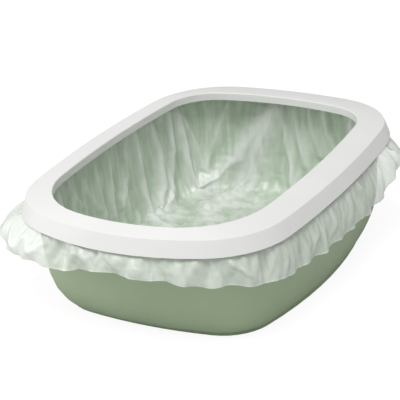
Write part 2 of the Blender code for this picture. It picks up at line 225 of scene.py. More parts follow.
@dataclass(frozen=True)
class FilmFinish:
    """Blown polyethylene film about 25 micrometres thick: milky, half see-through, with glossy creases.

    Attributes:
        name: The material's name.
        colour: sRGB hex of the haze where the film lies on the green pan, painted green there with the pan's
            bounce light; where it stands off it; and where it hangs free, darker there with painted shade.
        opacity: Share of light that the film stops where it lies on the pan and where it stands off.
        passing: Share of the stopped light that the haze scatters through to the other side.
        gloss: Share of light that the film's two faces mirror.
        crease_opacity: Opacity added along stretched streaks on the large creases' crests and taken in their
            hollows, which paints light and shade along the folds.
        hem_opacity: Opacity added along the doubled hem.
        roughness: Lowest and highest roughness.
        crease_mm: Width of the large and of the fine creases.
        crease_depth_mm: Depth of the large and of the fine creases.
        hem_mm: Width of the doubled hem.
        cloud_mm: Size of the clouds in the haze.
        cloud: Opacity that the clouds add or take.
        sheen_mm: Size of the glossier and duller patches.
    """

    name: str
    colour: tuple[str, str, str]
    opacity: tuple[float, float]
    passing: float
    gloss: float
    crease_opacity: float
    hem_opacity: float
    roughness: tuple[float, float]
    crease_mm: tuple[float, float]
    crease_depth_mm: tuple[float, float]
    hem_mm: float
    cloud_mm: float = 30.0
    cloud: float = 0.04
    sheen_mm: float = 9.0

    # Stretch and lean in radians of the large and of the fine creases, on the walls and on the skirt
    WALL_CREASES = ((5.0, 0.12), (2.5, -0.35))
    SKIRT_CREASES = ((2.6, 0.95), (2.5, -0.35))
    # Distance from the floor's middle at which the walls begin, and height of the skirt's film, in metres
    WALL_AT = (0.17, 0.23)
    SKIRT_DROP = 0.07
    SKIRT_FADE = 10 * MM
    # Shares of the lift over which the haze thickens and loses its painted green bounce light, and height of a
    # full streak
    THICKENS = (0.05, 0.9)
    PAINTED_GREEN_FADES = (0.05, 0.7)
    STREAK = 0.12

    @staticmethod
    def drawn_out(
        tree: bpy.types.NodeTree, film: bpy.types.NodeSocket, width_mm: float, stretch: float, lean: float
    ) -> bpy.types.NodeSocket:
        """Adds soft waves that run mostly along the bag.

        Args:
            tree: The node tree.
            film: The film's map in metres, round the girth and down the bag.
            width_mm: Width of the waves.
            stretch: How many times longer than wide they are.
            lean: Turn of the waves in radians.

        Returns:
            The waves' value, about 0 to 1.
        """
        turn = {"Vector": film, "Rotation": (0.0, 0.0, lean), "Scale": (1.0, 1 / stretch, 1.0)}
        turned = add_node(tree, "ShaderNodeMapping", turn).outputs[0]
        sockets = {"Vector": turned, "Scale": 1 / (width_mm * MM), "Detail": 1.5, "Distortion": 0.3}
        return add_node(tree, "ShaderNodeTexNoise", sockets).outputs[0]

    def zones(
        self, tree: bpy.types.NodeTree, down: bpy.types.NodeSocket, hem_at: float
    ) -> list[bpy.types.NodeSocket]:
        """Splits the film into floor, walls and free skirt.

        Args:
            tree: The node tree.
            down: Distance down the bag from the floor's middle.
            hem_at: That distance at the hem.

        Returns:
            The share of each zone, 0 to 1.
        """
        skirt_at = hem_at - self.SKIRT_DROP
        ramps = []
        for start, end in (self.WALL_AT, (skirt_at, skirt_at + self.SKIRT_FADE)):
            sockets = {"Value": down, "From Min": start, "From Max": end}
            ramps.append(add_node(tree, "ShaderNodeMapRange", sockets).outputs[0])
        past_floor, skirt = ramps
        floor = add_node(tree, "ShaderNodeMath", {0: 1.0, 1: past_floor}, operation="SUBTRACT").outputs[0]
        wall = add_node(tree, "ShaderNodeMath", {0: past_floor, 1: skirt}, operation="SUBTRACT").outputs[0]
        return [floor, wall, skirt]

    def creases(
        self,
        tree: bpy.types.NodeTree,
        place: bpy.types.NodeSocket,
        film: bpy.types.NodeSocket,
        zones: list[bpy.types.NodeSocket],
    ) -> list[bpy.types.NodeSocket]:
        """Adds the creases: every way on the floor, down the bag on the walls and aslant on the skirt.

        Args:
            tree: The node tree.
            place: Coordinates in metres.
            film: The film's map in metres.
            zones: The shares of floor, walls and skirt.

        Returns:
            The large and the fine creases, each about -0.5 to 0.5.
        """
        found = []
        for width, on_wall, on_skirt in zip(self.crease_mm, self.WALL_CREASES, self.SKIRT_CREASES):
            sockets = {"Vector": place, "Scale": 1 / (width * MM), "Detail": 1}
            every_way = add_node(tree, "ShaderNodeTexNoise", sockets).outputs[0]
            down_the_bag = self.drawn_out(tree, film, width, *on_wall)
            aslant = self.drawn_out(tree, film, width, *on_skirt)
            total: Value = -0.5
            for wave, zone in zip((every_way, down_the_bag, aslant), zones):
                parts = {0: wave, 1: zone, 2: total}
                total = add_node(tree, "ShaderNodeMath", parts, operation="MULTIPLY_ADD").outputs[0]
            found.append(total)
        return found

    def stopped(
        self,
        tree: bpy.types.NodeTree,
        place: bpy.types.NodeSocket,
        down: bpy.types.NodeSocket,
        lift: bpy.types.NodeSocket,
        large: bpy.types.NodeSocket,
        hem_at: float,
    ) -> bpy.types.NodeSocket:
        """Works out how much light the film stops: less on the pan, more off it and along the hem.

        Args:
            tree: The node tree.
            place: Coordinates in metres.
            down: Distance down the bag.
            lift: How far the film stands off the pan, 0 to 1.
            large: The large creases, which thin and thicken the haze.
            hem_at: Distance down the bag at the hem.

        Returns:
            The share of light, 0 to 1.
        """
        hem = self.hem_mm * MM
        total = mottle(tree, place, self.cloud_mm, 3, (-self.cloud, self.cloud))
        # The large creases thicken the haze on their crests and thin it in their hollows: painted light and shade
        # along the folds
        for value, (start, end), (low, high) in (
            (lift, self.THICKENS, self.opacity),
            (large, (-self.STREAK, self.STREAK), (-self.crease_opacity, self.crease_opacity)),
            (down, (hem_at - hem, hem_at - 0.7 * hem), (0.0, self.hem_opacity)),
        ):
            sockets = {"Value": value, "From Min": start, "From Max": end, "To Min": low, "To Max": high}
            more = add_node(tree, "ShaderNodeMapRange", sockets).outputs[0]
            parts = {0: total, 1: more}
            total = add_node(tree, "ShaderNodeMath", parts, operation="ADD", use_clamp=True).outputs[0]
        return total

    def material(self, hem_at: float) -> bpy.types.Material:
        """Builds the material.

        Args:
            hem_at: The film's second map coordinate at its hem, in metres.

        Returns:
            The finished material.
        """
        made, tree = bare_material(self.name)
        place = add_node(tree, "ShaderNodeTexCoord").outputs["Object"]
        film = add_node(tree, "ShaderNodeUVMap", uv_map="film").outputs[0]
        down = add_node(tree, "ShaderNodeSeparateXYZ", {0: film}).outputs[1]
        stored = {"attribute_name": "lift", "attribute_type": "GEOMETRY"}
        lift = add_node(tree, "ShaderNodeAttribute", **stored).outputs["Fac"]
        zones = self.zones(tree, down, hem_at)
        large, fine = self.creases(tree, place, film, zones)
        share = self.stopped(tree, place, down, lift, large, hem_at)
        # Creases too fine for the mesh turn the glints
        depths = self.crease_depth_mm
        normal = relief(tree, ((large, depths[0], 0.7), (fine, depths[1], 0.7)))
        # Painted light: the haze is painted with the pan's green bounce light where the film lies on it, and
        # darker with painted shade where it hangs free
        pale = {"Value": lift, "From Min": self.PAINTED_GREEN_FADES[0], "From Max": self.PAINTED_GREEN_FADES[1]}
        painted_green_off = add_node(tree, "ShaderNodeMapRange", pale).outputs[0]
        painted_light_haze: Value = linear(self.colour[0])
        for code, amount in ((self.colour[1], painted_green_off), (self.colour[2], zones[2])):
            tints = {0: amount, 6: painted_light_haze, 7: linear(code)}
            painted_light_haze = add_node(tree, "ShaderNodeMix", tints, data_type="RGBA").outputs[2]
        sheen = mottle(tree, place, self.sheen_mm, 2, self.roughness)
        faced = {"Base Color": painted_light_haze, "Roughness": sheen, "Normal": normal, "IOR": 1.51}
        facing = add_node(tree, "ShaderNodeBsdfPrincipled", faced).outputs[0]
        through = add_node(tree, "ShaderNodeBsdfTranslucent", {"Color": painted_light_haze, "Normal": normal}).outputs[0]
        clear = add_node(tree, "ShaderNodeBsdfTransparent", {"Color": (0.97, 0.98, 0.97, 1.0)}).outputs[0]
        glossed = {"Color": (1.0, 1.0, 1.0, 1.0), "Roughness": sheen, "Normal": normal}
        mirror = add_node(tree, "ShaderNodeBsdfGlossy", glossed).outputs[0]
        haze = add_node(tree, "ShaderNodeMixShader", {0: self.passing, 1: facing, 2: through}).outputs[0]
        body = add_node(tree, "ShaderNodeMixShader", {0: share, 1: clear, 2: haze}).outputs[0]
        whole = add_node(tree, "ShaderNodeMixShader", {0: self.gloss, 1: body, 2: mirror}).outputs[0]
        add_node(tree, "ShaderNodeOutputMaterial", {"Surface": whole})
        return made


# Moulded polypropylene looks satin and even: broad soft highlights and no mirror image
SAGE_POLYPROPYLENE = MouldedFinish("polypropylene_moulded_sage", "A7B998", "A1B392", (0.38, 0.52), 0.05)
WHITE_POLYPROPYLENE = MouldedFinish("polypropylene_moulded_white", "DBDBD9", "D7D7D5", (0.46, 0.58), 0.04)
# Blown polyethylene film looks thin and hazy: the pan's green shows through it and its creases glint; its haze is
# painted green with the pan's bounce light and darker with painted shade on the skirt
MILKY_POLYETHYLENE = FilmFinish(
    name="polyethylene_film_blown",
    # Haze colours: on the pan painted green with its bounce light, off the pan, and on the hanging skirt darker
    # with painted shade
    colour=("E2F0E0", "F1F5F0", "E0E7DF"),
    opacity=(0.64, 0.95),
    passing=0.2,
    gloss=0.05,
    crease_opacity=0.1,
    hem_opacity=0.14,
    roughness=(0.36, 0.52),
    crease_mm=(14.0, 6.0),
    crease_depth_mm=(1.3, 0.35),
    hem_mm=2.4,
)


# Shapes that the film follows


@dataclass(frozen=True)
class OutlineSize:
    """One closed plan outline, in metres: half width, near and far end, bows of the arcs and corner radii."""

    half_width: float
    near: float
    far: float
    side_bow: float
    near_bow: float
    far_bow: float
    near_corner: float
    far_corner: float


class Outline:
    """A closed plan outline of tangent arcs, at stations that every outline shares, anticlockwise from +X."""

    def __init__(self, size: OutlineSize, steps: tuple[int, ...]) -> None:
        """Works out the stations.

        Args:
            size: Sizes of the outline.
            steps: Steps on the side's half, the corner and the end's half of each quarter.
        """
        middle = (size.near + size.far) / 2
        length = (size.far - size.near) / 2
        far_arcs = self.quarter(size.half_width, length, size.side_bow, size.far_bow, size.far_corner)
        near_arcs = self.quarter(size.half_width, length, size.side_bow, size.near_bow, size.near_corner)
        self.points, self.normals = self.stations(far_arcs, near_arcs, steps, middle)

    @staticmethod
    def quarter(width: float, length: float, side_bow: float, end_bow: float, corner: float) -> list[tuple]:
        """Finds the three arcs from the middle of a side to the middle of an end.

        Args:
            width: Half the width.
            length: Half the length.
            side_bow: Rise of the side's arc.
            end_bow: Rise of the end's arc.
            corner: Radius of the corner.

        Returns:
            Centre, radius, start angle and end angle of each arc.
        """
        side_radius = (length**2 + side_bow**2) / (2 * side_bow)
        end_radius = (width**2 + end_bow**2) / (2 * end_bow)
        side_centre = np.array([width - side_radius, 0.0])
        end_centre = np.array([0.0, length - end_radius])
        to_side = side_radius - corner
        to_end = end_radius - corner
        apart = np.linalg.norm(end_centre - side_centre)
        along = (end_centre - side_centre) / apart
        across = np.array([along[1], -along[0]])
        reach = (to_side**2 - to_end**2 + apart**2) / (2 * apart)
        rise = math.sqrt(max(to_side**2 - reach**2, 0.0))
        centre = max((side_centre + reach * along + sign * rise * across for sign in (1, -1)), key=sum)
        leave = math.atan2(*(centre - side_centre)[::-1])
        meet = math.atan2(*(centre - end_centre)[::-1])
        return [
            (side_centre, side_radius, 0.0, leave),
            (centre, corner, leave, meet),
            (end_centre, end_radius, meet, math.pi / 2),
        ]

    @staticmethod
    def stations(
        far_arcs: list[tuple], near_arcs: list[tuple], steps: tuple[int, ...], middle: float
    ) -> tuple[np.ndarray, np.ndarray]:
        """Lists points and outward normals all the way round.

        Args:
            far_arcs: Arcs of the quarters at the far end.
            near_arcs: Arcs of the quarters at the near end.
            steps: Steps on each arc.
            middle: How far along Y the outline's middle lies.

        Returns:
            Points and normals, one row for each station.
        """
        points, normals = [], []
        for arcs, mirror, backwards in (
            (far_arcs, (1, 1), False),
            (far_arcs, (-1, 1), True),
            (near_arcs, (-1, -1), False),
            (near_arcs, (1, -1), True),
        ):
            found = []
            for (centre, radius, start, end), count in zip(arcs, steps):
                angles = start + (end - start) * np.arange(count) / count
                found += [(centre, radius, angle) for angle in angles]
            centre, radius, _, end = arcs[-1]
            found.append((centre, radius, end))
            if backwards:
                found.reverse()
            for centre, radius, angle in found[:-1]:
                normal = np.array([math.cos(angle), math.sin(angle)])
                points.append((centre + radius * normal) * mirror + (0.0, middle))
                normals.append(normal * mirror)
        return np.array(points), np.array(normals)


def ring(plan: np.ndarray, height: float | np.ndarray) -> np.ndarray:
    """Raises plan points to a height.

    Args:
        plan: Points in plan.
        height: One height or one for each point.

    Returns:
        Points in space.
    """
    return np.column_stack([plan, np.broadcast_to(height, len(plan))])


@dataclass(frozen=True)
class BoxSize:
    """Sizes of the pan and the rim that the film touches, in metres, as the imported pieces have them."""

    rim: OutlineSize = OutlineSize(0.196, -0.280, 0.280, 0.024, 0.070, 0.030, 0.114, 0.115)
    wall_inset: float = 0.0116
    lip_inset: float = 0.0036
    side_lean: float = 0.0018
    near_lean: float = 0.0293
    far_lean: float = 0.0053
    side_round: float = 0.0115
    near_round: float = 0.030
    far_round: float = 0.023
    belly_arcs: tuple[float, ...] = (0.0275, 0.043, 0.028, 0.077, 0.087)
    foot_arcs: tuple[float, ...] = (0.038, 0.025, 0.027, 0.070, 0.075)
    height: float = 0.160
    foot_height: float = 0.007
    foot_step: float = 0.0012
    floor: float = 0.0028
    wall: float = 0.0025
    round_height: float = 0.072
    lip_bottom: float = 0.149
    skirt_bottom: float = 0.1432

    @property
    def belly(self) -> OutlineSize:
        """Outline in which the straight walls would meet the ground."""
        half_width = self.rim.half_width - self.wall_inset - self.side_lean
        near = self.rim.near + self.wall_inset + self.near_lean
        far = self.rim.far - self.wall_inset - self.far_lean
        return OutlineSize(half_width, near, far, *self.belly_arcs)

    @property
    def foot(self) -> OutlineSize:
        """Outline of the foot."""
        belly = self.belly
        half_width = belly.half_width - self.side_round
        near, far = belly.near + self.near_round, belly.far - self.far_round
        return OutlineSize(half_width, near, far, *self.foot_arcs)


class BoxShape:
    """The pan's walls and the rim's edge as rings of points at one fineness."""

    STEPS = (15, 14, 8)

    def __init__(self, size: BoxSize, refine: int) -> None:
        """Samples the outlines.

        Args:
            size: Sizes of the pan and the rim.
            refine: Parts that each coarse step is cut into.
        """
        self.size = size
        fine = tuple(count * refine for count in self.STEPS)
        self.edge = Outline(size.rim, fine)
        self.belly = Outline(size.belly, fine)
        self.foot = Outline(size.foot, fine)
        steps = np.linalg.norm(np.roll(self.edge.points, -1, axis=0) - self.edge.points, axis=1)
        self.girth = float(steps.sum())
        self.along = np.concatenate([[0.0], np.cumsum(steps)[:-1]])
        self.bearing = np.degrees(np.arctan2(self.edge.points[:, 1], self.edge.points[:, 0])) % 360

    def along_at(self, bearing: float) -> float:
        """Finds the place round the edge at a bearing.

        Args:
            bearing: Degrees from +X, seen from above.

        Returns:
            Distance round the edge.
        """
        bearings, places = np.append(self.bearing, 360.0), np.append(self.along, self.girth)
        return float(np.interp(bearing % 360, bearings, places))

    def offset(self, distance: float) -> np.ndarray:
        """Gives plan points outside the rim's top edge by a distance.

        Args:
            distance: Outward distance, negative for inward.

        Returns:
            Plan points.
        """
        return self.edge.points + self.edge.normals * distance

    def turned(self, share: float) -> float:
        """Tells how far round the base's quarter ellipse a share of the height is.

        Args:
            share: Share of the pan's height.

        Returns:
            An angle, 0 above the rounding and a right angle at the foot.
        """
        top = self.size.round_height / (self.size.height - self.size.foot_height)
        return math.asin(min(max(1 - share / top, 0.0), 1.0))

    def face(self, share: float) -> tuple[np.ndarray, np.ndarray]:
        """Gives the pan's outer wall at a share of its height.

        Args:
            share: Share of the pan's height.

        Returns:
            Plan points and outward normals.
        """
        turn = 1 - math.cos(self.turned(share))
        points = self.belly.points + (self.offset(-self.size.wall_inset) - self.belly.points) * share
        points = points + (self.foot.points - self.belly.points) * turn
        normals = self.belly.normals + (self.edge.normals - self.belly.normals) * share
        normals = normals + (self.foot.normals - self.belly.normals) * turn
        return points, normals / np.linalg.norm(normals, axis=1)[:, None]

    def inside(self, share: float, lift: float = 0.0) -> np.ndarray:
        """Gives the pan's inner wall, or the surface a lift above it.

        Args:
            share: Share of the pan's height.
            lift: Distance off the wall.

        Returns:
            Points in space.
        """
        points, normals = self.face(share)
        angle = self.turned(share)
        width = np.sum((self.belly.points - self.foot.points) * normals, axis=1)
        inward = self.size.round_height * math.cos(angle)
        upward = width * math.sin(angle)
        slope = np.hypot(inward, upward)
        inset = self.size.wall + self.size.foot_step * math.sin(angle) + lift * inward / slope
        height = self.size.floor + share * (self.size.height - self.size.floor)
        return ring(points - normals * inset[:, None], height + lift * upward / slope)


class PolarWall:
    """Distance of a packed wall from the box's axis by bearing and height, with the wall's slope."""

    TURNS = 720
    LEVELS = 160

    def __init__(self, piece: bpy.types.Object, low: float, high: float, outer: bool) -> None:
        """Measures a wall with level rays.

        Args:
            piece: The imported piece.
            low: Lowest height.
            high: Highest height.
            outer: Whether to measure the outer face and not the inner one.
        """
        spots = [piece.matrix_world @ vertex.co for vertex in piece.data.vertices]
        tree = BVHTree.FromPolygons(spots, [tuple(face.vertices) for face in piece.data.polygons])
        self.low, self.high = low, high
        self.table = np.zeros((self.LEVELS + 1, self.TURNS + 1))
        for row, height in enumerate(np.linspace(low, high, self.LEVELS + 1)):
            for column in range(self.TURNS):
                angle = math.tau * (column / self.TURNS - 0.5)
                way = Vector((math.cos(angle), math.sin(angle), 0.0))
                middle = Vector((0.0, 0.0, height))
                hit = tree.ray_cast(middle + way, -way)[0] if outer else tree.ray_cast(middle, way)[0]
                self.table[row, column] = hit.xy.length if hit else self.table[row, column - 1]
        self.table[:, -1] = self.table[:, 0]

    def beside(self, points: np.ndarray) -> tuple[np.ndarray, np.ndarray]:
        """Looks up the wall beside each point.

        Args:
            points: Points in space.

        Returns:
            The wall's distance from the axis, and how much it grows with height.
        """
        turn = (np.arctan2(points[..., 1], points[..., 0]) / (2 * math.pi) + 0.5) * self.TURNS
        level = np.clip((points[..., 2] - self.low) / (self.high - self.low), 0, 0.9999) * self.LEVELS
        column = np.minimum(turn.astype(int), self.TURNS - 1)
        row = level.astype(int)
        right, up = turn - column, level - row
        lower = self.table[row, column] * (1 - right) + self.table[row, column + 1] * right
        upper = self.table[row + 1, column] * (1 - right) + self.table[row + 1, column + 1] * right
        return lower * (1 - up) + upper * up, (upper - lower) * self.LEVELS / (self.high - self.low)


# The film


class Bond(Enum):
    """Links of the film's net of points: steps down the rows, steps along the columns and stiffness."""

    GIRTH = (0, 1, 1.0)
    HEIGHT = (1, 0, 1.0)
    LEFT_SHEAR = (1, 1, 0.45)
    RIGHT_SHEAR = (1, -1, 0.45)
    GIRTH_BEND = (0, 2, 0.3)
    HEIGHT_BEND = (2, 0, 0.3)


@dataclass(frozen=True)
class Settling:
    """One stage in which the film settles.

    Attributes:
        refine: Parts that each coarse step is cut into.
        rounds: Rounds of settling.
        slack: Extra film round the girth, as a share.
        height_slack: Extra film along the height, as a share.
        jitter: Size of the random start in metres.
        hold: Pull towards the planned shape in each round.
    """

    refine: int
    rounds: int
    slack: float
    height_slack: float
    jitter: float
    hold: float


STAGES = (
    Settling(1, 300, 0.05, 0.010, 2.0 * MM, 0.006),
    Settling(2, 300, 0.07, 0.020, 1.2 * MM, 0.003),
    Settling(4, 220, 0.08, 0.025, 0.5 * MM, 0.001),
)


def smooth_noise(
    rng: np.random.Generator, rows: int, columns: int, cell: tuple[int, int], lean: float
) -> np.ndarray:
    """Makes soft random values on a net that closes round its columns.

    Args:
        rng: Source of chance.
        rows: Rows of the net.
        columns: Columns of the net.
        cell: Rows and columns that one random value spans.
        lean: Columns that the pattern shifts by from one row to the next.

    Returns:
        Values about -1 to 1.
    """
    tall = max(2, rows // cell[0] + 2)
    wide = max(3, columns // cell[1])
    coarse = rng.uniform(-1, 1, (tall, wide))
    down = np.linspace(0, tall - 1.001, rows)
    row = down.astype(int)
    blend = (down - row)[:, None]
    blend = blend * blend * (3 - 2 * blend)
    banded = coarse[row] * (1 - blend) + coarse[row + 1] * blend
    over = ((np.arange(columns) + lean * np.arange(rows)[:, None]) % columns) * wide / columns
    column = over.astype(int) % wide
    mix = over - over.astype(int)
    mix = mix * mix * (3 - 2 * mix)
    row = np.arange(rows)[:, None]
    return banded[row, column] * (1 - mix) + banded[row, (column + 1) % wide] * mix


class Net:
    """A net of film points, rows by columns, closed round its columns and pinned along its last row."""

    # Share of an asked move that is made, share of the last move that carries on, and the longest move
    REACH = 0.3
    SWING = 0.86
    LONGEST = 2 * MM
    # Give of the bending links before they push, and rounds and strength of the last easing
    BEND_PLAY = 0.04
    EASINGS = 2
    EASE = 0.4

    def __init__(self, smooth: np.ndarray, slack: np.ndarray, height_slack: np.ndarray) -> None:
        """Sets the net's natural lengths.

        Args:
            smooth: The planned surface, rows by columns by three.
            slack: Extra girth at each point, as a share.
            height_slack: Extra height at each point, as a share.
        """
        self.rest = {bond: self.natural(smooth, slack, height_slack, bond) for bond in Bond}

    @staticmethod
    def span(points: np.ndarray, down: int, over: int) -> np.ndarray:
        """Gives the vectors from points to the ones some rows down and columns over.

        Args:
            points: The net's points.
            down: Rows down.
            over: Columns over.

        Returns:
            Vectors, with as many rows fewer as the link goes down.
        """
        return np.roll(points[down:], -over, axis=1) - points[: len(points) - down]

    def natural(
        self, smooth: np.ndarray, slack: np.ndarray, height_slack: np.ndarray, bond: Bond
    ) -> np.ndarray:
        """Works out a link's natural lengths.

        Args:
            smooth: The surface without folds.
            slack: Extra girth.
            height_slack: Extra height.
            bond: The kind of link.

        Returns:
            Lengths in metres.
        """
        down, over, _ = bond.value
        rows = len(smooth) - down
        plain = np.sum(self.span(smooth, down, over) ** 2, axis=2)
        girth = np.sum(self.span(smooth, 0, 1) ** 2, axis=2)[:rows] * over**2
        height = np.sum(self.span(smooth, 1, 0) ** 2, axis=2)
        height = np.concatenate([height, height[-1:]])[:rows] * down**2
        grown = plain + ((1 + slack[:rows]) ** 2 - 1) * girth + ((1 + height_slack[:rows]) ** 2 - 1) * height
        return np.sqrt(grown)

    def moves(self, points: np.ndarray) -> np.ndarray:
        """Adds up what all links ask of each point.

        Args:
            points: The net's points.

        Returns:
            A move for each point.
        """
        total = np.zeros_like(points)
        for bond, rest in self.rest.items():
            down, over, stiffness = bond.value
            span = self.span(points, down, over)
            length = np.sqrt(np.einsum("ijk,ijk->ij", span, span)) + 1e-9
            pull = (1 - rest / length) * stiffness / 2
            if max(down, abs(over)) == 2:
                pull = np.minimum(pull + self.BEND_PLAY * stiffness, 0.0)
            shift = span * pull[..., None]
            total[: len(points) - down] += shift
            total[down:] -= np.roll(shift, over, axis=1)
        return total * self.REACH

    def settle(
        self, start: np.ndarray, goal: np.ndarray, stage: Settling, blocked: Callable[[np.ndarray], None]
    ) -> np.ndarray:
        """Lets the film find its folds.

        Args:
            start: Where the points start.
            goal: The planned shape that a weak pull holds the film near.
            stage: Rounds and pull.
            blocked: Pushes points out of solid pieces, in place.

        Returns:
            The settled points.
        """
        points = start.copy()
        before = points.copy()
        for _ in range(stage.rounds):
            swing = (points - before) * self.SWING
            step = self.moves(points) + (goal - points) * stage.hold + swing
            before = points
            points = points + np.clip(step, -self.LONGEST, self.LONGEST)
            blocked(points)
            points[-1] = goal[-1]
        for _ in range(self.EASINGS):
            inner = points[1:-1]
            around = (points[2:] + points[:-2] + np.roll(inner, 1, axis=1) + np.roll(inner, -1, axis=1)) / 4
            points[1:-1] += self.EASE * (around - inner)
            blocked(points)
        blocked(points)
        return points


@dataclass(frozen=True)
class FilmSize:
    """Sizes of the film and where it runs, in metres.

    Attributes:
        play: How far the film stands off the pan where nothing folds it.
        clear: Gap between the film and a hard piece.
        edge_gap: How far in from the flange the film turns over it.
        tuck: How far in from the rim's top edge the film comes out below the skirt.
        floor_crumple: Height of the creases on the floor.
        floor_crease_pitch: Distance between those creases.
        floor_rows: Coarse rows on the floor.
        round_rows: Coarse rows round the base.
        wall_rows: Coarse rows up the walls.
        skirt_rows: Coarse rows of the free skirt.
        floor_hole: Share of the floor's reach at the innermost row.
        skirt_crease: Height of the slanted creases of the free skirt.
        skirt_crease_pitch: Distance between those creases.
        ruffle_depth: Wave of the free skirt.
        ruffle_pitch: Length of that wave.
        cut: Width and length of the film laid flat. Not used.
    """

    play: float = 0.0016
    clear: float = 0.0006
    edge_gap: float = 0.0008
    tuck: float = 0.0022
    floor_crumple: float = 0.0055
    floor_crease_pitch: float = 0.05
    floor_rows: int = 8
    round_rows: int = 9
    wall_rows: int = 9
    skirt_rows: int = 6
    floor_hole: float = 0.06
    skirt_crease: float = 0.0075
    skirt_crease_pitch: float = 0.056
    ruffle_depth: float = 0.0014
    ruffle_pitch: float = 0.047
    cut: tuple[float, float] = (0.74, 0.93)


# Free hem: bearing in degrees, height, and stand-off from the rim's top edge
HEM = (
    (0, 0.088, 0.016),
    (22, 0.086, 0.018),
    (42, 0.112, 0.026),
    (62, 0.100, 0.014),
    (90, 0.104, 0.012),
    (120, 0.100, 0.014),
    (140, 0.106, 0.022),
    (160, 0.096, 0.012),
    (182, 0.092, 0.012),
    (206, 0.098, 0.018),
    (227, 0.112, 0.040),
    (241, 0.104, 0.026),
    (253, 0.104, 0.014),
    (268, 0.117, 0.012),
    (282, 0.113, 0.011),
    (297, 0.105, 0.010),
    (318, 0.094, 0.011),
    (342, 0.090, 0.015),
)

# Large folds inside, traced: depth, half width, and the bearings and shares of the pan's height that
# they run through. A share below 0 lies on the floor, that part of the way from its edge to its middle.
FOLDS = (
    (0.0045, 0.006, ((209, 0.89), (205, 0.7), (199, 0.52))),
    (0.005, 0.006, ((201, 0.91), (195, 0.62), (186, 0.33))),
    (0.006, 0.007, ((189, 0.88), (187, 0.59), (186, 0.32))),
    (0.007, 0.007, ((177, 0.92), (178, 0.61), (179, 0.24))),
    (0.006, 0.006, ((170, 0.89), (171, 0.65), (167, 0.24))),
    (0.007, 0.008, ((164, 0.9), (165, 0.54), (172, 0.28))),
    (0.009, 0.008, ((156, 0.9), (155, 0.55), (155, 0.13), (157, -0.11))),
    (0.01, 0.01, ((146, 0.89), (143, 0.54), (144, 0.23), (152, -0.04))),
    (0.009, 0.007, ((136, 0.89), (136, 0.51), (141, 0.13), (148, -0.07))),
    (0.013, 0.009, ((132, 0.91), (130, 0.57), (129, 0.24), (127, 0.03))),
    (0.007, 0.007, ((131, 0.9), (125, 0.54), (122, 0.25), (117, 0.08))),
    (0.006, 0.008, ((112, 0.88), (116, 0.56), (121, 0.21))),
    (0.013, 0.011, ((96, 0.9), (101, 0.65), (107, 0.32), (116, 0.12), (127, 0.04))),
    (0.014, 0.011, ((95, 0.89), (100, 0.48), (103, 0.13), (107, -0.14), (129, -0.35))),
    (0.008, 0.007, ((93, 0.88), (91, 0.51), (89, 0.18))),
    (0.007, 0.007, ((88, 0.87), (87, 0.58), (85, 0.33))),
    (0.006, 0.006, ((83, 0.85), (82, 0.65), (80, 0.45))),
    (0.006, 0.006, ((78, 0.83), (77, 0.68), (75, 0.55))),
    (0.008, 0.012, ((46, 0.9), (50, 0.05))),
    (0.008, 0.012, ((20, 0.9), (14, 0.05))),
    (0.009, 0.013, ((228, 0.9), (231, 0.05))),
    (0.009, 0.013, ((312, 0.9), (308, 0.05))),
)

# Bearings between which the traced folds lie, and the share that the plain pleats keep there
TRACED = (72, 212, 0.35)

# How loose the film is round the box: bearing and share of the usual slack
LOOSENESS = (
    (0, 0.9),
    (30, 1.0),
    (60, 0.9),
    (78, 1.2),
    (90, 1.3),
    (99, 0.45),
    (118, 0.35),
    (127, 1.3),
    (140, 1.2),
    (165, 1.1),
    (200, 1.2),
    (230, 1.0),
    (270, 1.0),
    (320, 1.0),
)


